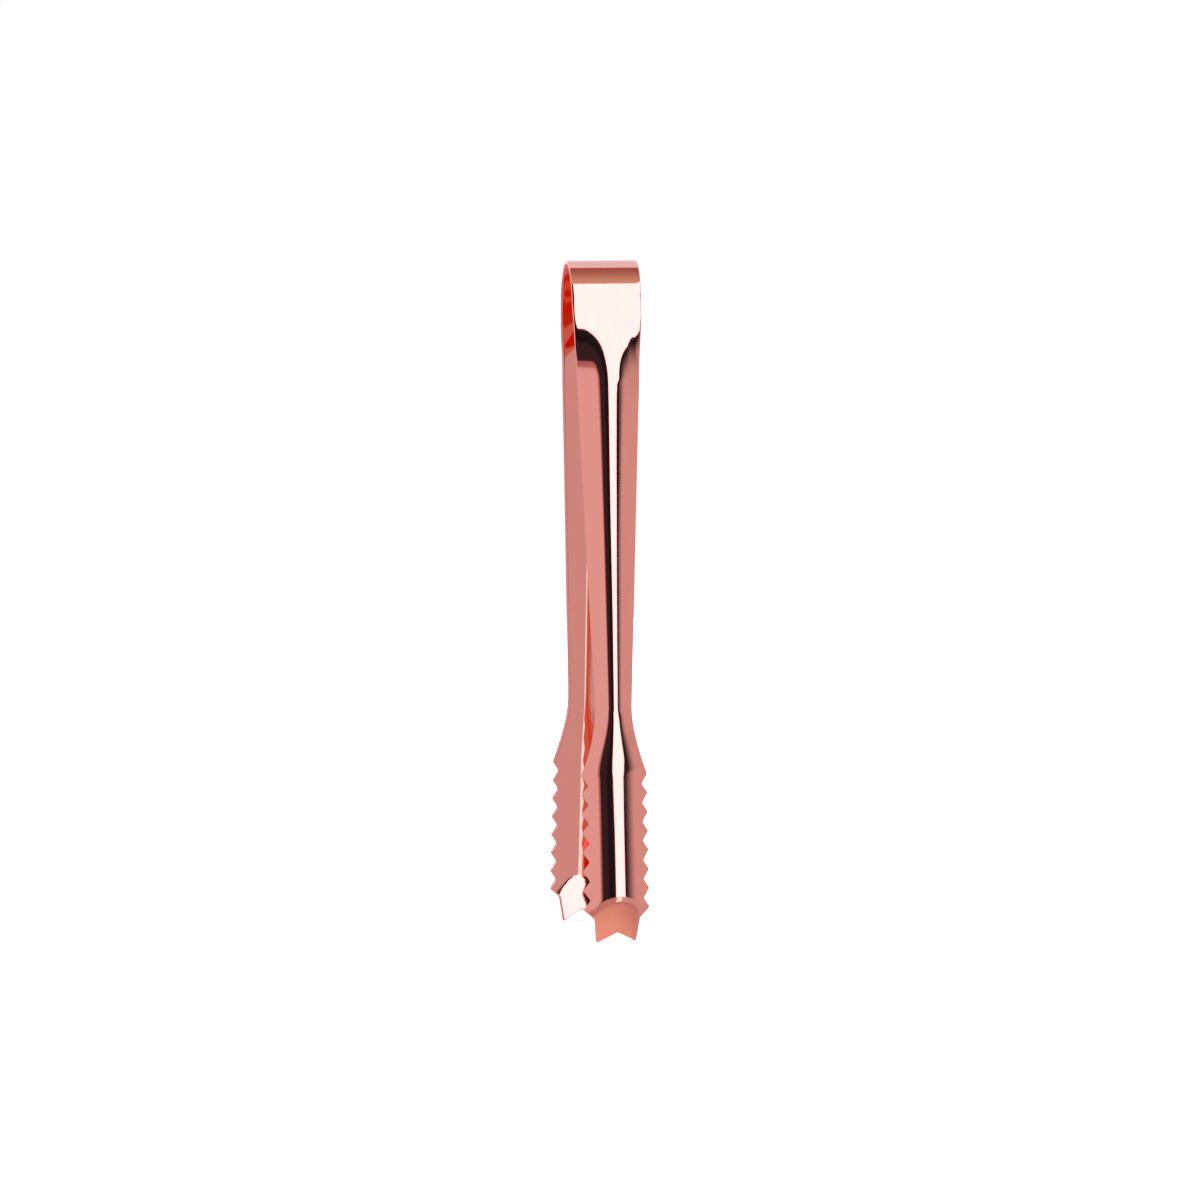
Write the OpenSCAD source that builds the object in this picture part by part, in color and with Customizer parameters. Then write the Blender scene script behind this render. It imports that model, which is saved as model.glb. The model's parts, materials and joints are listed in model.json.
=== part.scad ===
// Ice tongs made of one strip of spring steel, copper plated and polished.
// The strip is bent tightly over at the top. Two long, gently curved legs carry on down from the bend,
// and the three together make the bow. Below it the strip leans outwards as two mirrored arms.
// A gutter is pressed into each arm, so that only the bow can flex.
// Each arm narrows to a waist and flares into a jaw with serrated edges and two prongs.
// +Z is up, Y runs across the two arms and X across the strip. The prong tips stand on Z = 0.

/* [Strip] */
// Thickness of the strip
strip_t = 1; // [0.6:0.1:1.6]
// Height of the tongs, from the prong tips to the top of the bow
tongs_h = 180; // [150:1:230]

/* [Bow] */
// Width of the strip over the bow
bow_w = 19.2; // [15:0.1:26]
// Outer radius of the tight bend at the top
bow_r = 3.6; // [3:0.1:6]
// Outer radius of the curved spring legs
side_r = 18; // [12:0.5:30]
// Slope of the strip where the bend runs into a leg, in degrees from upright
side_a = 28; // [15:1:40]

/* [Arms] */
// Lean of each stem away from the middle plane, in degrees
stem_lean = 3.8; // [2:0.05:6]
// Width of the strip at the waist
waist_w = 10.3; // [8:0.1:13]
// Height of the waist above the prong tips
waist_z = 62; // [58:1:75]
// Angle of the gutter's two flanks, in degrees
gutter_a = 25; // [10:0.5:32]
// Length over which the flat strip turns into the full gutter
funnel_l = 21; // [16:1:40]
// Share of the stem's width that its rounded ridge takes
stem_ridge = 0.41; // [0.3:0.01:0.6]

/* [Jaws] */
// Width of each jaw over its teeth
jaw_w = 18.6; // [15:0.1:24]
// Lean of each jaw away from the middle plane, in degrees
jaw_lean = 4.5; // [3:0.05:7]
// How far the flare draws the jaw's edges towards the middle plane
jaw_in = 0.55; // [0:0.05:1.5]
// Share of the jaw's width that its rounded ridge takes
jaw_ridge = 0.61; // [0.3:0.01:0.6]
// Teeth on each edge of a jaw
teeth = 8; // [6:1:9]
// Distance from one tooth to the next
tooth_pitch = 5.06; // [3.6:0.02:5.6]
// Depth of the notch between two teeth
tooth_depth = 1.8; // [1:0.1:2.4]
// Height of the lowest tooth's point above the prong tips
last_tooth_z = 8.9; // [7.5:0.1:11]

/* [Prongs] */
// Distance between the outer corners of a jaw's two prongs
prong_w = 11.2; // [8.5:0.1:12]
// Width of a jaw at the shoulders above the prongs
shoulder_w = 12.8; // [12.2:0.1:14]
// Height of the shoulders above the prong tips
shoulder_z = 6.4; // [5:0.1:7]
// Height of the notch between the prongs
notch_h = 2.5; // [1:0.1:4]
// Size of the worn corner at each prong tip
corner = 0.35; // [0.1:0.05:0.6]
// Height at which the end of the jaw starts to turn inwards
turn_z = 11.7; // [10:0.1:16]
// Tilt of the turned end, in degrees from upright
turn_a = 12.1; // [5:0.1:16]
// Radius of the slight crown across the turned end
turn_crown_r = 25; // [20:1:90]

/* [Hidden] */
copper = [0.86, 0.55, 0.48];
$fn = 128;
joint_step = 0.001;  // step of the slopes, which are worked out from two nearby points
turn_blend = 0.5;    // how softly the gutter runs into the turned end
funnel_soft = 0.16;  // share of the funnel over which it sets in, and over which it ends
flare_power = 1.75;  // how late the jaw flares out below the waist
ridge_points = 4;    // points on each half of the ridge
stem_rows = 20;
flare_rows = 6;

// The outer face of the bow in the Y-Z plane. The tight bend is in line with the leg's arc at leg_top,
// and the leg is in line with the stem at stem_top.
bow_z = tongs_h - bow_r;
leg_top = [bow_r * cos(side_a), bow_z + bow_r * sin(side_a)];
side_centre = leg_top - side_r * [cos(side_a), sin(side_a)];
stem_top = side_centre + side_r * [cos(stem_lean), sin(stem_lean)];
stem_top_z = stem_top.y;
first_tooth_z = last_tooth_z + (teeth - 1) * tooth_pitch;

function mix(a, b, s) = a + (b - a) * s;
function clamp01(s) = min(max(s, 0), 1);
function ease(s) = let (c = clamp01(s)) c * c * (3 - 2 * c);

// Half the width of the strip at height z, over the points of the teeth.
function half_w(z) =
    z <= first_tooth_z ? jaw_w / 2 :
    z <= waist_z ? mix(waist_w, jaw_w, pow((waist_z - z) / (waist_z - first_tooth_z), flare_power)) / 2 :
    mix(waist_w, bow_w, (z - waist_z) / (stem_top_z - waist_z)) / 2;

// Half the width that the gutter is formed for. It runs smoothly from the stem's width to the jaw's.
function jaw_share(z) = ease((waist_z - z) / (waist_z - first_tooth_z));
function form_half(z) = z <= waist_z ? mix(waist_w, jaw_w, jaw_share(z)) / 2 : half_w(z);

// How far the gutter is formed at height z: nothing under the spring leg, all of it below the funnel.
function funnel(z) =
    let (s = clamp01((stem_top_z - z) / funnel_l), end = min(s, 1 - s, funnel_soft), steep = 1 - funnel_soft)
    let (part = (end * end / (2 * funnel_soft) + min(s, 1 - s) - end) / steep)
    s < 0.5 ? part : 1 - part;

// Angle of the flanks and half the width of the rounded ridge at height z.
function flank_a(z) = gutter_a * funnel(z);
function ridge_half(z) =
    form_half(z) * mix(1, mix(stem_ridge, jaw_ridge, jaw_share(z)), sqrt(funnel(z)));

// How far the outer face falls back from the top of the ridge, at x across the strip.
function fall(x, z) =
    let (b = ridge_half(z), a = flank_a(z), bend = sin(a) / b, c = min(abs(x), b))
    bend * c * c / (1 + sqrt(1 - pow(bend * c, 2))) + (abs(x) - c) * tan(a);

// Distance of the strip's edges from the middle plane.
function line_y(z) =
    stem_top.x + tan(stem_lean) * (stem_top_z - max(z, waist_z)) + tan(jaw_lean) * max(waist_z - z, 0)
    - jaw_in * jaw_share(z);

// Outer face of the gutter, outer face of the turned end, and the face that joins them softly.
function ridge_y(z) = line_y(z) + fall(form_half(z), z);
function gutter_y(x, z) = ridge_y(z) - fall(x, z);
function turned_y(x, z) = ridge_y(turn_z) - tan(turn_a) * (turn_z - z) - x * x / (2 * turn_crown_r);
function face_y(x, z) =
    let (g = gutter_y(x, z), e = turned_y(x, z), near = max(turn_blend - abs(g - e), 0) / turn_blend)
    z > 2 * turn_z ? g : min(g, e) - near * near * turn_blend / 4;

// The point on the outer face at x and z, and the inner face's point straight behind it.
function outer_point(p) = [p.x, face_y(p.x, p.y), p.y];
function inner_point(p) =
    let (
        slope_x = (face_y(p.x + joint_step, p.y) - face_y(p.x - joint_step, p.y)) / (2 * joint_step),
        slope_z = (face_y(p.x, p.y + joint_step) - face_y(p.x, p.y - joint_step)) / (2 * joint_step),
        away = [-slope_x, 1, -slope_z]
    )
    outer_point(p) - strip_t * away / norm(away);

// Both halves of a row, from the points of its right half, listed from the edge to the middle.
function whole_row(half) = concat(
    [for (p = half) [-p.x, p.y]],
    [for (i = [len(half) - 2 : -1 : 0]) half[i]]
);

// Places across the strip at height z, from one on the flank to the middle of the ridge.
function places(z) =
    let (b = min(ridge_half(z), 0.75 * half_w(z)))
    concat([mix(b, half_w(z), 0.3)], [for (i = [ridge_points : -1 : 0]) b * i / ridge_points]);

// Points of a level row.
function level_row(edge_x, z) = whole_row(concat([[edge_x, z]], [for (x = places(z)) [x, z]]));

// Points of a row in the turned end. s runs from 0 at the lowest tooth to 1 along the prongs.
function end_row(s, edge) =
    let (
        from = places(last_tooth_z),
        tip_x = prong_w / 2 - corner,
        to = concat([tip_x], [for (i = [ridge_points : -1 : 0]) 0.9 * tip_x * i / ridge_points])
    )
    whole_row(concat([edge], [for (i = [0 : len(from) - 1])
        [mix(from[i], to[i], s), mix(last_tooth_z, notch_h * (1 - to[i] / tip_x), s)]]));

// The rows of the three formed zones, from the top down.
function stem_zone() = [for (i = [0 : stem_rows])
    let (z = mix(stem_top_z, waist_z, i / stem_rows)) level_row(half_w(z), z)];
function flare_zone() = [for (i = [0 : flare_rows - 1])
    let (z = mix(waist_z, first_tooth_z, i / flare_rows)) level_row(half_w(z), z)];
function teeth_zone() = [for (i = [2 * (teeth - 1) : -1 : 0])
    let (z = last_tooth_z + i * tooth_pitch / 2) level_row(jaw_w / 2 - (i % 2) * tooth_depth, z)];
function prong_zone() =
    let (
        tooth = [jaw_w / 2, last_tooth_z],
        shoulder = [shoulder_w / 2, shoulder_z],
        tip = [prong_w / 2, corner]
    )
    [
        end_row(0.15, mix(tooth, shoulder, 0.5)),
        end_row(0.3, shoulder),
        end_row(0.5, mix(shoulder, tip, 1 / 3)),
        end_row(0.75, mix(shoulder, tip, 2 / 3)),
        end_row(1, tip)
    ];

// A closed sheet through rows of points. Its diagonals mirror each other about the middle.
module sheet(rows) {
    across = len(rows[0]);
    down = len(rows);
    flat_rows = [for (row = rows) for (p = row) p];
    count = len(flat_rows);
    points = concat([for (p = flat_rows) outer_point(p)], [for (p = flat_rows) inner_point(p)]);
    cells = [for (r = [0 : down - 2]) for (c = [0 : across - 2])
        let (a = r * across + c, b = a + 1, d = a + across, e = d + 1)
        each 2 * c < across - 1 ? [[a, b, e], [a, e, d]] : [[a, b, d], [b, e, d]]];
    rim = concat(
        [for (c = [0 : across - 1]) c],
        [for (r = [1 : down - 1]) r * across + across - 1],
        [for (c = [across - 2 : -1 : 0]) (down - 1) * across + c],
        [for (r = [down - 2 : -1 : 1]) r * across]
    );
    walls = [for (i = [0 : len(rim) - 1])
        let (a = rim[i], b = rim[(i + 1) % len(rim)])
        each [[b, a, a + count], [b, a + count, b + count]]];
    polyhedron(points, concat(cells, [for (f = cells) [f[2] + count, f[1] + count, f[0] + count]], walls), 4);
}

// The rear arm is modelled, and the front arm is its mirror image.
module front() {
    mirror([0, 1, 0]) children();
}

// A part of the bow. Its outer face is an arc round centre from angle a to angle b.
module bent_strip(centre, r, a, b) {
    color(copper) translate([0, centre.x, centre.y]) rotate([90, 0, 90])
        rotate([0, 0, a]) translate([0, 0, -bow_w / 2])
            rotate_extrude(angle = b - a) translate([r - strip_t, 0]) square([strip_t, bow_w]);
}

module bow_crown() {
    bent_strip([0, bow_z], bow_r, side_a, 180 - side_a);
}

module spring_leg() {
    bent_strip(side_centre, side_r, stem_lean, side_a);
}

module stem() {
    color(copper) sheet(stem_zone());
}

module jaw() {
    color(copper) sheet(concat(flare_zone(), teeth_zone(), prong_zone()));
}

bow_crown();
front() spring_leg();  // front_spring_leg
spring_leg();  // rear_spring_leg
front() stem();  // front_stem
stem();  // rear_stem
front() jaw();  // front_jaw
jaw();  // rear_jaw
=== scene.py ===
# %% [markdown]
# # Copper-plated ice tongs
# The tongs are one strip of spring steel. A press cuts its outline, forms a gutter along each half and
# turns the ends. Then the strip is bent into a bow, plated with copper and polished like a mirror.
# This lesson follows the same order: a flat blank, a form tool made of Geometry Nodes, the thickness
# and edges, the split into pieces that move, the finish, and the studio.
#
# The packed model comes first. It fixes the places and the moving bodies, and it is never changed.

# %% Load the packed model
import json
import math
from types import SimpleNamespace

import bmesh
import bpy
import numpy as np
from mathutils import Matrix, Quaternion, Vector

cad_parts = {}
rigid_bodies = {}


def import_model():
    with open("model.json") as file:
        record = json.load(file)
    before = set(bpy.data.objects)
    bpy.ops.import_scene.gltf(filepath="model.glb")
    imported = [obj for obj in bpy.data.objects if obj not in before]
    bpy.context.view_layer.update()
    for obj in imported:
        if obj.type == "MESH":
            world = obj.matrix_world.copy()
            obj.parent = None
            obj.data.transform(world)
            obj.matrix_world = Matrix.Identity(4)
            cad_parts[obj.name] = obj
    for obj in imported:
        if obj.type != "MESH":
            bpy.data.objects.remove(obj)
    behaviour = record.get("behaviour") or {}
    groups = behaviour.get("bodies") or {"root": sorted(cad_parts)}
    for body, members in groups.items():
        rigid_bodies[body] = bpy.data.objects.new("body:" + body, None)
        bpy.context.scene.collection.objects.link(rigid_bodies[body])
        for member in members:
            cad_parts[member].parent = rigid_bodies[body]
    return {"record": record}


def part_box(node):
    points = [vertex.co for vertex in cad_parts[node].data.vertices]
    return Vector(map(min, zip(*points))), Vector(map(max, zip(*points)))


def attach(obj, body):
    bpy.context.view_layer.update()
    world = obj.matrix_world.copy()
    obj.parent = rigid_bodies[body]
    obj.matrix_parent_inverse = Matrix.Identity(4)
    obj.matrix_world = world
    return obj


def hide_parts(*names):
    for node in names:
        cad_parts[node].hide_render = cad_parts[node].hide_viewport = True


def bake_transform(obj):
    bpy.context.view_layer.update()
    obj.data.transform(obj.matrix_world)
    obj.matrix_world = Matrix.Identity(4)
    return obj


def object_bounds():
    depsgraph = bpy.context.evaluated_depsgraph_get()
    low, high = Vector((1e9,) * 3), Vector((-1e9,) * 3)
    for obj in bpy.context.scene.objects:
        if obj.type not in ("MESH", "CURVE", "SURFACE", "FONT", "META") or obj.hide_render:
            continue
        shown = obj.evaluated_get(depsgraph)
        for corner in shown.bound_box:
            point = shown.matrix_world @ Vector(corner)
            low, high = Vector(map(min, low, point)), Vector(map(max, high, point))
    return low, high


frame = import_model()
cad_low, cad_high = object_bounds()
MM = 0.001
print("height of the tongs in mm:", round(cad_high.z / MM, 2))

# %% [markdown]
# The main sizes are read off the packed model: its boxes say where each zone of the strip starts and
# ends, and its record says where the bow's centre is. The rest are shapes inside a zone, such as the
# curve of the spring legs, the gutter and the teeth, and they get values of their own here. Typing every
# size in by hand would also work, but then a change to the packed model would no longer carry through.

# %% Read the sizes of the strip
record = frame["record"]
bow_hold = next(m for m in record["mounts"] if m["name"] == "hanging_bow")
crown_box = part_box("bow_crown")
leg_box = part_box("rear_spring_leg")
jaw_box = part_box("rear_jaw")

bow_z = bow_hold["pos_m"][2]
bow_r = cad_high.z - bow_z
strip_t = bow_r - bow_hold["dims"]["r_mm"] * MM
side_slope = math.asin((leg_box[1].z - bow_z) / bow_r)
side_r = 18 * MM
stem_lean = math.radians(3.8)
leg_top = bow_r * math.cos(side_slope), leg_box[1].z
side_centre = leg_top[0] - side_r * math.cos(side_slope), leg_top[1] - side_r * math.sin(side_slope)
stem_top = side_centre[0] + side_r * math.cos(stem_lean), side_centre[1] + side_r * math.sin(stem_lean)
waist_z = jaw_box[1].z

# Stations count the length along the strip. They equal the height up to the stem's top.
leg_top_station = stem_top[1] + side_r * (side_slope - stem_lean)
apex_station = leg_top_station + bow_r * (math.pi / 2 - side_slope)

teeth = 8
tooth_pitch = 5.06 * MM
last_tooth_z = 8.9 * MM
first_tooth_z = last_tooth_z + (teeth - 1) * tooth_pitch

SIZES = {
    "bow_width": crown_box[1].x - crown_box[0].x,
    "bow_radius": bow_r,
    "bow_height": bow_z,
    "side_slope": side_slope,
    "side_radius": side_r,
    "side_centre_y": side_centre[0],
    "side_centre_height": side_centre[1],
    "leg_top_station": leg_top_station,
    "apex_station": apex_station,
    "stem_lean": stem_lean,
    "stem_top_y": stem_top[0],
    "stem_top_height": stem_top[1],
    "waist_width": 10.3 * MM,
    "waist_height": waist_z,
    "gutter_angle": math.radians(25),
    "funnel_length": 21 * MM,
    "edge_roll_width": 1.1 * MM,
    "edge_roll_depth": 0.14 * MM,
    "stem_ridge": 0.41,
    "jaw_width": jaw_box[1].x - jaw_box[0].x,
    "jaw_lean": math.radians(4.5),
    "jaw_in": 0.55 * MM,
    "jaw_ridge": 0.61,
    "flare_power": 1.75,
    "teeth": teeth,
    "tooth_pitch": tooth_pitch,
    "tooth_depth": 1.8 * MM,
    "tooth_round": 0.09,
    "first_tooth_height": first_tooth_z,
    "last_tooth_height": last_tooth_z,
    "prong_width": 11.2 * MM,
    "prong_round": 0.5 * MM,
    "shoulder_width": 12.8 * MM,
    "shoulder_height": 6.4 * MM,
    "notch_height": 2.5 * MM,
    "tip_drop": 0.28 * MM,
    "turn_height": 11.7 * MM,
    "turn_angle": math.radians(12.1),
    "turn_curl": math.radians(1.0),
    "turn_blend": 0.45 * MM,
    "turn_crown_radius": 25 * MM,
}
print("strip:", round(SIZES["bow_width"] / MM, 2), "by", round(strip_t / MM, 2), "mm")

# %% [markdown]
# Node trees do the arithmetic of this model, both for its shape and for its finish. Wiring Math nodes
# by hand is slow to read, so a small class wraps an output socket. Python's own operators on it add the
# Math nodes, and the formula in the script looks like a formula. Every other node comes from `add`,
# which sets a node's options first and then its sockets.

# %% Write node trees as expressions
class Wire:
    """An output socket. Arithmetic on it adds Math nodes to the socket's tree."""

    def __init__(self, socket):
        self.socket = socket

    def __add__(self, other):
        return calc("ADD", self, other)

    def __radd__(self, other):
        return calc("ADD", other, self)

    def __sub__(self, other):
        return calc("SUBTRACT", self, other)

    def __rsub__(self, other):
        return calc("SUBTRACT", other, self)

    def __mul__(self, other):
        return calc("MULTIPLY", self, other)

    def __rmul__(self, other):
        return calc("MULTIPLY", other, self)

    def __truediv__(self, other):
        return calc("DIVIDE", self, other)

    def __rtruediv__(self, other):
        return calc("DIVIDE", other, self)

    def __pow__(self, other):
        return calc("POWER", self, other)

    def __neg__(self):
        return calc("MULTIPLY", self, -1)

    def __abs__(self):
        return calc("ABSOLUTE", self)


def add(tree, kind, settings=None, sockets=None):
    """A new node. Its settings are set first, then its sockets, by name or number, from values or wires."""
    node = tree.nodes.new(kind)
    for name, value in (settings or {}).items():
        setattr(node, name, value)
    for name, value in (sockets or {}).items():
        if isinstance(value, Wire):
            tree.links.new(value.socket, node.inputs[name])
        else:
            node.inputs[name].default_value = value
    return node


def calc(operation, *values):
    """A Math node on wires and numbers."""
    tree = next(v for v in values if isinstance(v, Wire)).socket.id_data
    node = add(tree, "ShaderNodeMath", {"operation": operation}, dict(enumerate(values)))
    return Wire(node.outputs[0])


def mixed(tree, share, a, b):
    """Colour a, and colour b where share is 1. Each is a value or a wire."""
    node = add(tree, "ShaderNodeMix", {"data_type": "RGBA"}, {0: share, 6: a, 7: b})
    return Wire(node.outputs[2])


def smaller(a, b, soft=None):
    return calc("MINIMUM", a, b) if soft is None else calc("SMOOTH_MIN", a, b, soft)


def larger(a, b, soft=None):
    return calc("MAXIMUM", a, b) if soft is None else calc("SMOOTH_MAX", a, b, soft)


def clamp(x):
    return larger(smaller(x, 1), 0)


def ease(x):
    """0 to 1 in a smooth S while x goes from 0 to 1."""
    c = clamp(x)
    return c * c * (3 - 2 * c)


def blend(a, b, share):
    """a where share is 0, b where it is 1."""
    return a + (b - a) * share


operators = [name for name, value in vars(Wire).items() if callable(value) and name != "__init__"]
print("operators that add Math nodes:", len(operators))

# %% [markdown]
# The blank is a plain flat strip, drawn as a grid. Its rows are close together where the press will
# bend the metal tightly or cut a tooth, and far apart where the strip stays straight. The length is
# measured from the middle of the bow: the rear half lies at plus Y and the front half at minus Y.
# Each band of faces carries the number of the zone that it belongs to.

# %% Lay out the blank
ZONES = [
    "bow_crown", "front_spring_leg", "rear_spring_leg",
    "front_stem", "rear_stem", "front_jaw", "rear_jaw",
]
CROWN_ROWS, LEG_ROWS, FUNNEL_ROWS, STEM_ROWS, FLARE_ROWS = 32, 20, 44, 44, 34
TOOTH_STEPS = (0.0, 0.12, 0.22, 0.36, 0.5, 0.64, 0.78, 0.88)
FUNNEL_ROWS_END = 25 * MM
END_ROWS_MM = (8.6, 8.2, 7.7, 7.2, 6.9, 6.65, 6.4, 6.15, 5.8, 5.3, 4.7, 4.0, 3.3, 2.7, 2.2, 1.8, 1.4,
               1.05, 0.8, 0.55, 0.3, 0)
ACROSS = (0, 0.06, 0.12, 0.18, 0.24, 0.30, 0.36, 0.42, 0.48, 0.54, 0.60, 0.66, 0.72, 0.78, 0.83, 0.875,
          0.91, 0.95, 1)


def steps(high, low, count):
    """Heights from high down to low, without low itself."""
    return [high + (low - high) * i / count for i in range(count)]


half_pitch = tooth_pitch / 2
funnel_low = stem_top[1] - FUNNEL_ROWS_END
heights = steps(apex_station, leg_top_station, CROWN_ROWS)
heights += steps(leg_top_station, stem_top[1], LEG_ROWS)
heights += steps(stem_top[1], funnel_low, FUNNEL_ROWS)
heights += steps(funnel_low, waist_z, STEM_ROWS)
heights += steps(waist_z, first_tooth_z, FLARE_ROWS)
for half in range(2 * (teeth - 1)):
    heights += [first_tooth_z - (half + share) * half_pitch for share in TOOTH_STEPS]
heights += [last_tooth_z] + [z * MM for z in END_ROWS_MM]


def zone_at(y):
    """The zone's number at y along the blank."""
    station = apex_station - abs(y)
    side = "rear" if y > 0 else "front"
    if station > leg_top_station:
        return ZONES.index("bow_crown")
    part = "spring_leg" if station > stem_top[1] else "stem" if station > waist_z else "jaw"
    return ZONES.index(f"{side}_{part}")


def flat_blank():
    along = [apex_station - h for h in heights]
    ys = [-y for y in reversed(along[1:])] + along
    xs = [-q for q in reversed(ACROSS[1:])] + list(ACROSS)
    half_width = SIZES["bow_width"] / 2
    points = [(x * half_width, y, 0) for y in ys for x in xs]
    wide = len(xs)
    faces, zones = [], []
    for row in range(len(ys) - 1):
        for column in range(wide - 1):
            a = row * wide + column
            faces.append((a, a + 1, a + 1 + wide, a + wide))
            zones.append(zone_at((ys[row] + ys[row + 1]) / 2))
    mesh = bpy.data.meshes.new("blank")
    mesh.from_pydata(points, [], faces)
    mesh.attributes.new("zone", "INT", "FACE").data.foreach_set("value", zones)
    blank = bpy.data.objects.new("blank", mesh)
    bpy.context.scene.collection.objects.link(blank)
    return blank


blank = flat_blank()
print("blank:", len(blank.data.polygons), "faces,", round(2 * apex_station / MM, 1), "mm long")

# %% [markdown]
# The finish is named before the form tool, because the tool ends by giving the strip its material.
# The faces are polished. The cut edges keep a little of the press's tear under the plating, so they are
# rougher, and they get a material of their own. Both are filled in further down.

# %% Name the two finishes
polished = bpy.data.materials.new("polished_copper_plate")
cut_edge = bpy.data.materials.new("plated_cut_edge")
for material in (polished, cut_edge):
    material.use_nodes = True

# %% [markdown]
# The form tool is one Geometry Nodes tree with a named input for each size. A point of the blank comes
# in as a place across and along, and leaves as a place in space. Three rules do it: the outline, the
# press and the bend. The outline, here, says how wide the strip is at each height. It takes the smaller of
# a flaring edge, a triangle wave for the teeth and the side of the foot, with a little softness where two
# meet. Modelling this by moving points by hand would never give eight equal teeth.

# %% The outline rule
WIDTH_SOFT = 0.06
FLARE_SOFT = 0.7 * MM
NOTCH_SOFT = 0.12 * MM
SHOULDER_SOFT = 0.4 * MM


def rise_to_bow(s, z):
    """0 at the waist, 1 from the stem's top up."""
    share = (z - s.waist_height) / (s.stem_top_height - s.waist_height)
    return smaller(larger(share, 0, WIDTH_SOFT), 1, WIDTH_SOFT)


def flare(s, z):
    """0 at the waist, 1 at the first tooth."""
    return (s.waist_height - z) / (s.waist_height - s.first_tooth_height)


def form_half(s, z):
    """Half the width that the gutter is formed for. It runs smoothly from the stem's width to the jaw's."""
    widened = (s.bow_width - s.waist_width) / 2 * rise_to_bow(s, z)
    return s.waist_width / 2 + widened + (s.jaw_width - s.waist_width) / 2 * ease(flare(s, z))


def tooth_edge(s, z):
    """A triangle wave with slightly rounded points and roots, which runs on upwards past both ends."""
    place = (z - s.last_tooth_height) / s.tooth_pitch
    inside = larger(smaller(place, s.teeth - 1), 0)
    from_point = inside - calc("ROUND", inside)
    from_root = inside - (calc("FLOOR", inside) + 0.5)
    near_point = larger(from_point, -from_point, s.tooth_round)
    near_root = 0.5 - larger(from_root, -from_root, s.tooth_round)
    depth = blend(near_point, near_root, calc("GREATER_THAN", abs(from_point), 0.25))
    return s.jaw_width / 2 - 2 * s.tooth_depth * (depth - abs(place - inside))


def foot_edge(s, z):
    """The edge below the lowest tooth: in to the shoulder, then down the side of the prong."""
    foot_slope = (s.jaw_width - s.shoulder_width) / 2 / (s.last_tooth_height - s.shoulder_height)
    prong_slope = (s.shoulder_width - s.prong_width) / 2 / s.shoulder_height
    foot = s.shoulder_width / 2 + (z - s.shoulder_height) * foot_slope
    prong = s.prong_width / 2 + z * prong_slope
    return larger(foot, prong, SHOULDER_SOFT)


def outline(s, z):
    """Half the width of the cut strip."""
    widening = (s.jaw_width - s.waist_width) / 2
    flare_edge = s.waist_width / 2 + widening * larger(flare(s, z), 0) ** s.flare_power
    flare_edge = flare_edge + (s.bow_width - s.waist_width) / 2 * rise_to_bow(s, z)
    toothed = smaller(flare_edge, tooth_edge(s, z), FLARE_SOFT)
    return smaller(toothed, foot_edge(s, z), NOTCH_SOFT)


print("waist and jaw widths in mm:", [round(SIZES[n] / MM, 1) for n in ("waist_width", "jaw_width")])

# %% [markdown]
# The press says how far the face stands from the middle plane. On the real strip a die pushes up a round
# ridge with a flat flank on each side, which stiffens the thin metal. The ridge rises first and the flanks
# fold a little later, so the flat metal runs out in a funnel. At the jaws the gutter meets a foot that is
# turned in. The rule is a formula of the place, because a mirror finish shows any bump in a sculpted face.

# %% The press rule
RIDGE_START = 0.05
RIDGE_SHARE = 0.94
RIDGE_SOFT_START = 0.1
RIDGE_SOFT_END = 0.3
FOLD_START = 0.12
FOLD_SHARE = 0.91
LATE_FOLD = 0.06
LATE_FOLD_LENGTH = 2.2
LEAN_SOFT = 8 * MM


def funnel(s, z):
    """How far the ridge has risen: nothing under the spring leg, all of it below the funnel."""
    depth = (s.stem_top_height - z) / s.funnel_length
    return smaller(larger((depth - RIDGE_START) / RIDGE_SHARE, 0, RIDGE_SOFT_START), 1, RIDGE_SOFT_END)


def folding(s, z):
    """How far the flanks are folded. They start later than the ridge, and tighten a little down the stem."""
    depth = (s.stem_top_height - z) / s.funnel_length
    early = (1 - LATE_FOLD) * ease((depth - FOLD_START) / FOLD_SHARE)
    return early + LATE_FOLD * ease(depth / LATE_FOLD_LENGTH)


def fall(s, x, z, formed):
    """How far the face falls back from the top of the ridge, at x from the middle."""
    angle = s.gutter_angle * formed
    ridge = blend(s.stem_ridge, s.jaw_ridge, ease(flare(s, z)))
    round_half = form_half(s, z) * blend(1, ridge, calc("SQRT", formed))
    bend = calc("SINE", angle) / round_half
    c = smaller(x, round_half)
    turned = bend * c
    return turned * c / (1 + calc("SQRT", 1 - turned * turned)) + (x - c) * calc("TANGENT", angle)


def ridge(s, z):
    """Distance of the ridge from the middle plane."""
    lean = calc("TANGENT", s.stem_lean)
    more_lean = calc("TANGENT", s.jaw_lean) - lean
    line = s.stem_top_y + lean * (s.stem_top_height - z)
    line = line + more_lean * larger(s.waist_height - z, 0, LEAN_SOFT)
    return line - s.jaw_in * ease(flare(s, z)) + fall(s, form_half(s, z), z, funnel(s, z))


def edge_roll(s, x, station):
    """How far shearing rolled the strip's edges over. It shows on the flat metal and fades up the bow."""
    near_edge = larger(x - s.bow_width / 2 + s.edge_roll_width, 0) / s.edge_roll_width
    fading = clamp((s.apex_station - station) / (s.apex_station - s.stem_top_height))
    return s.edge_roll_depth * near_edge * near_edge * fading * (1 - funnel(s, station))


def pressed_face(s, x, z):
    """Distance of the outer face from the middle plane: the gutter, and the turned foot under it."""
    gutter = ridge(s, z) - fall(s, x, z, folding(s, z))
    drop = s.turn_height - z
    foot = ridge(s, s.turn_height) - calc("TANGENT", s.turn_angle) * drop
    foot = foot + s.turn_curl * larger(drop, 0) * z / s.turn_height
    return smaller(gutter, foot - x * x / (2 * s.turn_crown_radius), s.turn_blend)


print("gutter:", round(math.degrees(SIZES["gutter_angle"])), "degrees on each side")

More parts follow.
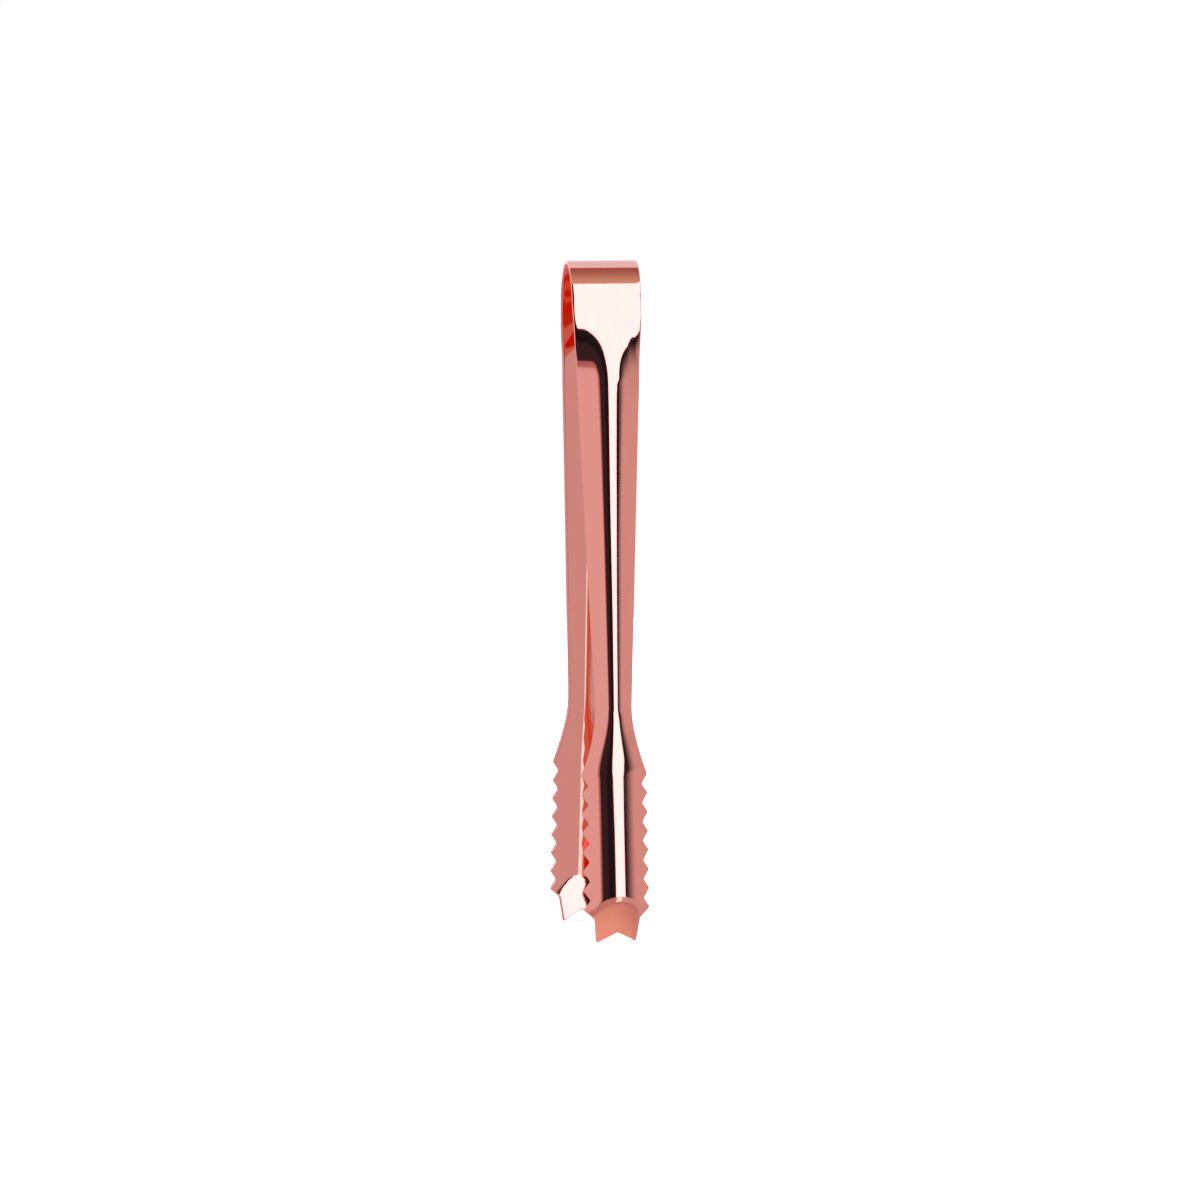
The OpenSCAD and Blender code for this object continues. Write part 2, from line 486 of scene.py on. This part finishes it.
# %% [markdown]
# The prong points of each jaw are slightly rounded. The corner of a square turns into a quarter of a
# circle when each of its coordinates shrinks by the other one.
#
# The bend comes last. Above the gutter the strip is flat across, and only bends: a wide arc for the spring
# leg and a tight arc over the top. Both keep the length of the outer face, so a station along the blank
# becomes an angle. The tool then puts the three rules together.

# %% Build the form tool
STEADY = 0.6


def rounded_corner(s, share, station):
    """The place in the blank, as a share of the half width and a height, after rounding the prong points."""
    width = foot_edge(s, station)
    side = larger(1 - (1 - share) * width / s.prong_round, 0)
    end = larger(1 - station / s.prong_round, 0)
    new_side = side * calc("SQRT", 1 - end * end / 2)
    new_end = end * calc("SQRT", 1 - side * side / 2)
    return share + (new_side - side) * s.prong_round / width, station - (new_end - end) * s.prong_round


def on_arc(centre_y, centre_z, radius, turn):
    """The place on an arc, as a distance from the middle plane and a height."""
    return centre_y + radius * calc("COSINE", turn), centre_z + radius * calc("SINE", turn)


def form_tool(sizes, material):
    """A node tree that shapes the flat blank. Each size is an input with the size's name."""
    tree = bpy.data.node_groups.new("form_tool", "GeometryNodeTree")
    tree.interface.new_socket("Geometry", in_out="OUTPUT", socket_type="NodeSocketGeometry")
    tree.interface.new_socket("Geometry", in_out="INPUT", socket_type="NodeSocketGeometry")
    for name in sizes:
        tree.interface.new_socket(name, in_out="INPUT", socket_type="NodeSocketFloat")
    source = add(tree, "NodeGroupInput")
    s = SimpleNamespace(**{name: Wire(source.outputs[name]) for name in sizes})

    flat = Wire(add(tree, "GeometryNodeInputPosition").outputs[0])
    place = add(tree, "ShaderNodeSeparateXYZ", {}, {0: flat})
    across, along = Wire(place.outputs["X"]), Wire(place.outputs["Y"])
    flat_share = abs(across) / (s.bow_width / 2)
    flat_station = s.apex_station - abs(along)

    share, station = rounded_corner(s, flat_share, flat_station)
    in_foot = clamp((s.last_tooth_height - station) / s.last_tooth_height)
    z = station + in_foot * blend(s.notch_height, -s.tip_drop, share)
    body = smaller(form_half(s, station), foot_edge(s, station), NOTCH_SOFT)
    x = share * body + larger(share - STEADY, 0) / (1 - STEADY) * (outline(s, station) - body)
    roll = edge_roll(s, x, station)
    y = pressed_face(s, x, z) - roll

    side_turn = s.stem_lean + (station - s.stem_top_height) / s.side_radius
    on_side = calc("GREATER_THAN", station, s.stem_top_height)
    side_y, side_z = on_arc(s.side_centre_y, s.side_centre_height, s.side_radius - roll, side_turn)
    y, z = blend(y, side_y, on_side), blend(z, side_z, on_side)
    bow_turn = s.side_slope + (station - s.leg_top_station) / s.bow_radius
    on_bow = calc("GREATER_THAN", station, s.leg_top_station)
    crown_y, crown_z = on_arc(0, s.bow_height, s.bow_radius - roll, bow_turn)
    y, z = blend(y, crown_y, on_bow), blend(z, crown_z, on_bow)
    formed = add(tree, "ShaderNodeCombineXYZ", {}, {
        "X": x * calc("SIGN", across),
        "Y": y * calc("SIGN", along),
        "Z": z,
    })

    kept = add(tree, "GeometryNodeStoreNamedAttribute", {"data_type": "FLOAT_VECTOR", "domain": "POINT"}, {
        "Geometry": Wire(source.outputs["Geometry"]),
        "Name": "flat_place",
        "Value": flat,
    })
    moved = add(tree, "GeometryNodeSetPosition", {}, {
        "Geometry": Wire(kept.outputs[0]),
        "Position": Wire(formed.outputs[0]),
    })
    real = add(tree, "GeometryNodeRealizeInstances", {}, {"Geometry": Wire(moved.outputs[0])})
    done = add(tree, "GeometryNodeSetMaterial", {}, {"Geometry": Wire(real.outputs[0]), "Material": material})
    add(tree, "NodeGroupOutput", {}, {"Geometry": Wire(done.outputs[0])})
    return tree


tool = form_tool(SIZES, polished)
print("form tool:", len(tool.nodes), "nodes")

# %% [markdown]
# The tool is put on the blank as a modifier, and each size goes to its socket by the socket's
# identifier. Solidify then gives the sheet its thickness, all of it inwards, so that the outer face stays
# where the press put it. Bevel rounds the cut edges, as tumbling does before plating. The faces that
# Solidify adds along the rim take the second material slot. The evaluated result is copied out as a
# plain mesh, and the modifiers go away with the blank.

# %% Press the strip
press = blank.modifiers.new("press", "NODES")
press.node_group = tool
for item in tool.interface.items_tree:
    if item.in_out == "INPUT" and item.name in SIZES:
        press[item.identifier] = float(SIZES[item.name])

thick = blank.modifiers.new("thickness", "SOLIDIFY")
thick.thickness = strip_t
thick.offset = -1
thick.material_offset_rim = 1

edge_round = blank.modifiers.new("edge_round", "BEVEL")
edge_round.width = 0.22 * MM
edge_round.segments = 3
edge_round.limit_method = "ANGLE"
edge_round.angle_limit = math.radians(50)
edge_round.use_clamp_overlap = False

for material in (polished, cut_edge):
    blank.data.materials.append(material)
graph = bpy.context.evaluated_depsgraph_get()
whole = bpy.data.meshes.new_from_object(blank.evaluated_get(graph), depsgraph=graph)
bpy.data.objects.remove(blank)
count = len(whole.vertices)
coords = np.empty(count * 3, np.float32)
whole.vertices.foreach_get("co", coords)
coords = coords.reshape(-1, 3)
print("pressed strip:", len(whole.polygons), "faces, low", coords.min(0) / MM, "high", coords.max(0) / MM)

# %% [markdown]
# A mirror finish shows the slightest unevenness in the normals. So each point's normal is worked out
# once, on the whole strip, from the faces round it weighted by their areas. The flat faces then rule
# over the tiny ones of the rounded edge. Every piece keeps these normals when the strip is divided, and
# no seam shows.

# %% Work out the normals of the whole strip
normals = np.zeros((count, 3))
for face in whole.polygons:
    normals[list(face.vertices)] += np.array(face.normal) * face.area
normals /= np.linalg.norm(normals, axis=1)[:, None]
whole.attributes.new("strip_normal", "FLOAT_VECTOR", "POINT").data.foreach_set(
    "vector", normals.astype(np.float32).ravel())
print("normals:", count)

# %% [markdown]
# The real tongs are one piece, and they move because the strip flexes. The model is divided where the
# behaviour changes: the bow stays still, the two curved legs under it bend, and the formed arms swing
# without bending. Each arm also divides at its waist, where the plain stem turns into the toothed jaw.
# Every piece is closed at its seams and stands for the packed solid of the same name.

# %% Divide the strip into its pieces
def piece_of(zone):
    mesh = bpy.data.meshes.new(ZONES[zone])
    work = bmesh.new()
    work.from_mesh(whole)
    layer = work.faces.layers.int["zone"]
    bmesh.ops.delete(work, geom=[f for f in work.faces if f[layer] != zone], context="FACES")
    shell = len(work.faces)
    rings = [e for e in work.edges if e.is_boundary]
    caps = bmesh.ops.holes_fill(work, edges=rings, sides=0)["faces"]
    for cap in caps:
        cap.material_index = 1
    bmesh.ops.triangulate(work, faces=caps, ngon_method="EAR_CLIP")
    for face in work.faces:
        face.smooth = True
    work.to_mesh(mesh)
    work.free()
    own = mesh.attributes["strip_normal"].data
    wanted = []
    for face in mesh.polygons:
        cap = face.index >= shell
        wanted += [face.normal.copy() if cap else own[v].vector.normalized() for v in face.vertices]
    mesh.normals_split_custom_set(wanted)
    mesh.attributes.remove(mesh.attributes["strip_normal"])
    mesh.attributes.remove(mesh.attributes["zone"])
    for material in (polished, cut_edge):
        mesh.materials.append(material)
    piece = bpy.data.objects.new("visual_" + ZONES[zone], mesh)
    bpy.context.scene.collection.objects.link(piece)
    return piece


pieces = {name: piece_of(i) for i, name in enumerate(ZONES)}
for name, piece in pieces.items():
    print(name, len(piece.data.polygons), "faces")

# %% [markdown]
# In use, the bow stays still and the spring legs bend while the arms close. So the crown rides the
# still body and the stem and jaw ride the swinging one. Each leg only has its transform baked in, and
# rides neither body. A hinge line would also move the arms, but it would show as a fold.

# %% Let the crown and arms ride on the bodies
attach(pieces["bow_crown"], "bow")
for side in ("front", "rear"):
    arm = f"{side}_arm"
    leg = pieces[f"{side}_spring_leg"]
    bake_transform(leg)
    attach(pieces[f"{side}_stem"], arm)
    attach(pieces[f"{side}_jaw"], arm)
for name, piece in pieces.items():
    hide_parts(name)
print("pieces that ride a body:", len(pieces))

# %% [markdown]
# Polished copper plate is a metal surface with almost no roughness, so most of what is seen is the room.
# What makes it real is small. Buffing leaves faint lines along the strip. The sheet is never perfectly
# flat after pressing, so reflections waver a little. The plating is a shade darker and redder in soft
# patches, and its haze differs a little from place to place. These patterns are noise laid out on the flat
# strip, so they follow the metal round the bow. A picture texture would need an unwrap and has an edge.

# %% Finish the polished faces
def strip_noise(tree, scale, detail=2.0):
    """Soft noise laid out on the flat strip, with its own scale across and along."""
    flat = Wire(add(tree, "ShaderNodeAttribute", {"attribute_name": "flat_place"}).outputs["Vector"])
    laid = add(tree, "ShaderNodeMapping", {}, {"Vector": flat, "Scale": scale})
    place = Wire(laid.outputs[0])
    noise = add(tree, "ShaderNodeTexNoise", {}, {"Vector": place, "Scale": 1.0, "Detail": detail})
    return Wire(noise.outputs["Fac"])


PATCH_SCALE = (260, 90, 1)
LINE_SCALE = (5200, 60, 1)
HAZE_SCALE = (900, 220, 1)
SWELL_SCALE = (110, 45, 1)
LEAST_ROUGH, LINE_ROUGH, HAZE_ROUGH = 0.7, 0.35, 0.4


def copper(material, dark, light, roughness, hairline, wave):
    """Polished metal: two tones of colour, buffing lines and a slow swell. Heights are in metres."""
    tree = material.node_tree
    surface = tree.nodes["Principled BSDF"]
    patches = strip_noise(tree, PATCH_SCALE, 3.0)
    lines = strip_noise(tree, LINE_SCALE, 4.0)
    haze = strip_noise(tree, HAZE_SCALE, 3.0)
    swell = strip_noise(tree, SWELL_SCALE, 1.0)
    tree.links.new(mixed(tree, patches, dark, light).socket, surface.inputs["Base Color"])
    rough = roughness * (LEAST_ROUGH + LINE_ROUGH * lines + HAZE_ROUGH * haze)
    tree.links.new(rough.socket, surface.inputs["Roughness"])
    relief = lines * hairline + swell * wave
    bump = add(tree, "ShaderNodeBump", {}, {"Height": relief, "Strength": 1.0, "Distance": 1.0})
    tree.links.new(bump.outputs[0], surface.inputs["Normal"])
    surface.inputs["Metallic"].default_value = 1.0


copper(polished, (0.91, 0.37, 0.25, 1), (0.95, 0.40, 0.28, 1), roughness=0.05, hairline=5e-7, wave=1.6e-5)
copper(cut_edge, (0.86, 0.36, 0.28, 1), (0.95, 0.45, 0.36, 1), roughness=0.2, hairline=6e-6, wave=2e-5)
print("finishes:", polished.name, "and", cut_edge.name)

# %% [markdown]
# The floor is a plain pale sheet under the prongs. It takes their soft shadow. It is kept out of mirror
# reflections, because the studio's light is painted below the horizon too: the front foot and the inside
# of the rear arm look down there. Cards lying on the table could be modelled as objects instead, but a
# painted one is a formula and casts no shadow.

# %% Lay the floor
def pale_floor(radius):
    mesh = bpy.data.meshes.new("floor")
    work = bmesh.new()
    bmesh.ops.create_circle(work, cap_ends=True, segments=96, radius=radius)
    work.to_mesh(mesh)
    work.free()
    material = bpy.data.materials.new("pale_floor")
    material.use_nodes = True
    surface = material.node_tree.nodes["Principled BSDF"]
    surface.inputs["Base Color"].default_value = (0.90, 0.90, 0.90, 1)
    surface.inputs["Roughness"].default_value = 0.9
    surface.inputs["Specular IOR Level"].default_value = 0.1
    mesh.materials.append(material)
    floor = bpy.data.objects.new("floor", mesh)
    bpy.context.scene.collection.objects.link(floor)
    floor.visible_glossy = False
    return floor


FLOOR_RADIUS = 0.7
floor = pale_floor(FLOOR_RADIUS)
print("floor:", 2 * FLOOR_RADIUS, "m across")

# %% [markdown]
# A mirror shows its room, so the room is the light. It is painted on the world as a function of the
# direction alone. Directions are an azimuth, counted from minus Y towards minus X, and a height above the
# horizon, both in degrees. Lamps and cards could stand round the tongs instead, but each edge would then
# have to be placed by trial. A formula says where it is.
#
# Round the horizon stand a dark flag in front, a tall soft box to its right, and pale walls on both sides.
# Behind, a second box and flag give the rear arm something to mirror. Some edges lean with the height, so
# such an edge is a first azimuth and then its shifts.

# %% Place the panels
DEGREE = math.pi / 180


def between(value, low, high, soft):
    """1 from low to high and 0 outside, over soft edges."""
    return ease((value - low) / soft + 0.5) * (1 - ease((value - high) / soft + 0.5))


def fade(value, start, span):
    """0 up to the start, and 1 from a span later."""
    return ease((value - start) / span)


def edge(height, start, *shifts):
    """An azimuth that starts at one value. Each shift is (by how much, from which height, over how much)."""
    for shift, low, span in shifts:
        start = start + shift * fade(height, low, span)
    return start


BOX_LEFT = -9, (3, -1.5, 2)
BOX_RIGHT = -30.5, (-2.5, -1.2, 1.2), (-4, 0, 3), (-9, 5, 4)
FLAG_LEFT = 22, (2, -1.5, 2)
SHADE_RIGHT = -32, (-9, -1.2, 1.5), (-9, 5, 4)
DARKEST_LEFT = 7
WALL_GAP, WALL_SOFT = 2.8, 2.4
SHADE_LENGTH = 30
SIDE_RANGE = -120, -28
BACK_BOX_RANGE = 150, 168
BACK_FLAG_RANGE = 132, 150
BOX_SOFT, SIDE_SOFT, FLAG_SOFT, DARKEST_SOFT, BACK_BOX_SOFT, BACK_FLAG_SOFT = 0.7, 1, 1.5, 3, 4, 6
CEILING_START, CEILING_FADE, OVERHEAD_FADE = (24.5, 1), (23, 30), (57.5, 1.5)

# The table's fades count degrees below the horizon.
TABLE_START, NEAR_FADE, NEAREST_FADE = (5.5, 2), (23, 3), (30, 6)
TABLE_FRONT_RANGE, TABLE_NEAR_RANGE, NEAREST_RANGE = (-22, -12, 2), (-12, 26, 2), (-48, 60, 4)
print("soft box at the horizon:", BOX_RIGHT[0], "to", BOX_LEFT[0], "degrees")

# %% [markdown]
# The colours are light, so they may be brighter than 1. The wall colours are cooler than they look on the
# metal, because copper takes most of the green and blue away. The ceiling is painted by the pitch, which
# is the height seen from the side. The table is painted by azimuth and height, in a front, a near and a
# side part, because the front foot and the inside of the rear arm look down at different parts.

# %% Mix the colours of the studio
WALL = (0.80, 0.745, 0.93, 1)
WALL_NEAR_FLAG = (0.47, 0.26, 0.34, 1)
SIDE_WALL = (0.70, 0.63, 0.76, 1)
SOFT_BOX = (2.6, 2.36, 3.22, 1)
BACK_BOX = (1.7, 1.6, 2.1, 1)
FLAG = (0.037, 0.03, 0.044, 1)
FLAG_EDGE = (0.013, 0.0145, 0.026, 1)
CEILING_LOW = (0.66, 0.66, 0.60, 1)
CEILING_HIGH = (0.38, 0.20, 0.20, 1)
OVERHEAD = (0.88, 1.12, 1.50, 1)
TABLE_SIDE = (0.66, 0.60, 0.75, 1)
TABLE_FRONT = (1.04, 1.66, 2.06, 1)
TABLE_NEAR = (0.56, 0.42, 0.47, 1)
TABLE_NEAREST = (0.87, 0.70, 0.68, 1)


def paint_walls(tree, azimuth, height):
    box_left, box_right = edge(height, *BOX_LEFT), edge(height, *BOX_RIGHT)
    flag_left, shade_right = edge(height, *FLAG_LEFT), edge(height, *SHADE_RIGHT)
    wall = mixed(tree, fade(abs(azimuth) - flag_left, WALL_GAP, WALL_SOFT), WALL_NEAR_FLAG, WALL)
    wall = mixed(tree, between(azimuth, *BACK_BOX_RANGE, BACK_BOX_SOFT), wall, BACK_BOX)
    wall = mixed(tree, between(azimuth, *BACK_FLAG_RANGE, BACK_FLAG_SOFT), wall, FLAG)
    walls = mixed(tree, between(azimuth, box_left, flag_left, FLAG_SOFT), wall, FLAG)
    walls = mixed(tree, between(azimuth, box_left, DARKEST_LEFT, DARKEST_SOFT), walls, FLAG_EDGE)
    right = mixed(tree, ease((shade_right - azimuth) / SHADE_LENGTH), FLAG_EDGE, SIDE_WALL)
    walls = mixed(tree, between(azimuth, *SIDE_RANGE, SIDE_SOFT), walls, right)
    return mixed(tree, between(azimuth, box_right, box_left, BOX_SOFT), walls, SOFT_BOX)


def paint_ceiling(tree, pitch):
    ceiling = mixed(tree, fade(pitch, *CEILING_FADE), CEILING_LOW, CEILING_HIGH)
    return mixed(tree, fade(pitch, *OVERHEAD_FADE), ceiling, OVERHEAD)


def paint_table(tree, azimuth, height):
    table = mixed(tree, between(azimuth, *TABLE_FRONT_RANGE), TABLE_SIDE, TABLE_FRONT)
    table = mixed(tree, between(azimuth, *TABLE_NEAR_RANGE), table, TABLE_NEAR)
    near = mixed(tree, fade(-height, *NEAREST_FADE), TABLE_NEAR, TABLE_NEAREST)
    return mixed(tree, fade(-height, *NEAR_FADE) * between(azimuth, *NEAREST_RANGE), table, near)


# %% [markdown]
# The camera sees a plain white background, while the metal sees the painted room. The split is made on
# the kind of ray, so one world serves both. A wide sun lamp from overhead lights the floor evenly and is
# kept out of the mirror. Light goes many times between the two arms, so the number of bounces is raised.
# A path that runs out of bounces is black.

# %% Build the studio
def studio(world):
    world.use_nodes = True
    tree = world.node_tree
    tree.nodes.clear()
    direction = Wire(add(tree, "ShaderNodeTexCoord").outputs["Generated"])
    ray = add(tree, "ShaderNodeSeparateXYZ", {}, {0: direction})
    dx, dy, dz = (Wire(ray.outputs[i]) for i in range(3))
    azimuth = calc("ARCTAN2", -dx, -dy) / DEGREE
    height = calc("ARCSINE", dz) / DEGREE
    pitch = calc("ARCTAN2", dz, -dy) / DEGREE

    walls = paint_walls(tree, azimuth, height)
    ceiling = paint_ceiling(tree, pitch)
    table = paint_table(tree, azimuth, height)
    colour = mixed(tree, fade(height, *CEILING_START), walls, ceiling)
    colour = mixed(tree, fade(-height, *TABLE_START), colour, table)
    room = add(tree, "ShaderNodeBackground", {}, {"Color": colour, "Strength": 1.0})
    seen = add(tree, "ShaderNodeBackground", {}, {"Color": (1, 1, 1, 1), "Strength": 1.0})
    camera_ray = Wire(add(tree, "ShaderNodeLightPath").outputs["Is Camera Ray"])
    both = add(tree, "ShaderNodeMixShader", {}, {
        0: camera_ray,
        1: Wire(room.outputs[0]),
        2: Wire(seen.outputs[0]),
    })
    add(tree, "ShaderNodeOutputWorld", {}, {"Surface": Wire(both.outputs[0])})


world = bpy.data.worlds.new("studio")
bpy.context.scene.world = world
studio(world)
print("studio:", len(world.node_tree.nodes), "nodes")

overhead = bpy.data.lights.new("overhead", "SUN")
overhead.energy = 3.2
overhead.angle = math.radians(120)
overhead_lamp = bpy.data.objects.new("overhead", overhead)
overhead_lamp.visible_glossy = False
bpy.context.scene.collection.objects.link(overhead_lamp)
bpy.context.scene.view_settings.view_transform = "Standard"
bpy.context.scene.cycles.max_bounces = 24
bpy.context.scene.cycles.glossy_bounces = 24

# %% [markdown]
# The camera stands a little to the left and above, with a long lens, as for a catalogue picture. A long
# lens from far off keeps the two arms nearly the same size. It aims at half the height of the tongs.

# %% Set the camera
AZIMUTH = math.radians(-17.13)
ELEVATION = math.radians(6.65)
ROLL = math.radians(0.17)
DISTANCE = 1.075
SHIFT_MM = Vector((0.03, -0.42, 0))
back = Vector((
    math.sin(AZIMUTH) * math.cos(ELEVATION),
    -math.cos(AZIMUTH) * math.cos(ELEVATION),
    math.sin(ELEVATION),
))
lens = bpy.data.cameras.new("camera")
lens.sensor_width = 36
lens.lens = 120.7
camera = bpy.data.objects.new("camera", lens)
look = (-back).to_track_quat("-Z", "Y") @ Quaternion((0, 0, 1), ROLL)
middle = Vector((0, 0, 0.5 * cad_high.z))
aim = middle + look @ SHIFT_MM * MM
camera.location = aim + back * DISTANCE
camera.rotation_mode = "QUATERNION"
camera.rotation_quaternion = look
bpy.context.scene.collection.objects.link(camera)
bpy.context.scene.camera = camera
print("camera at", [round(v, 3) for v in camera.location])
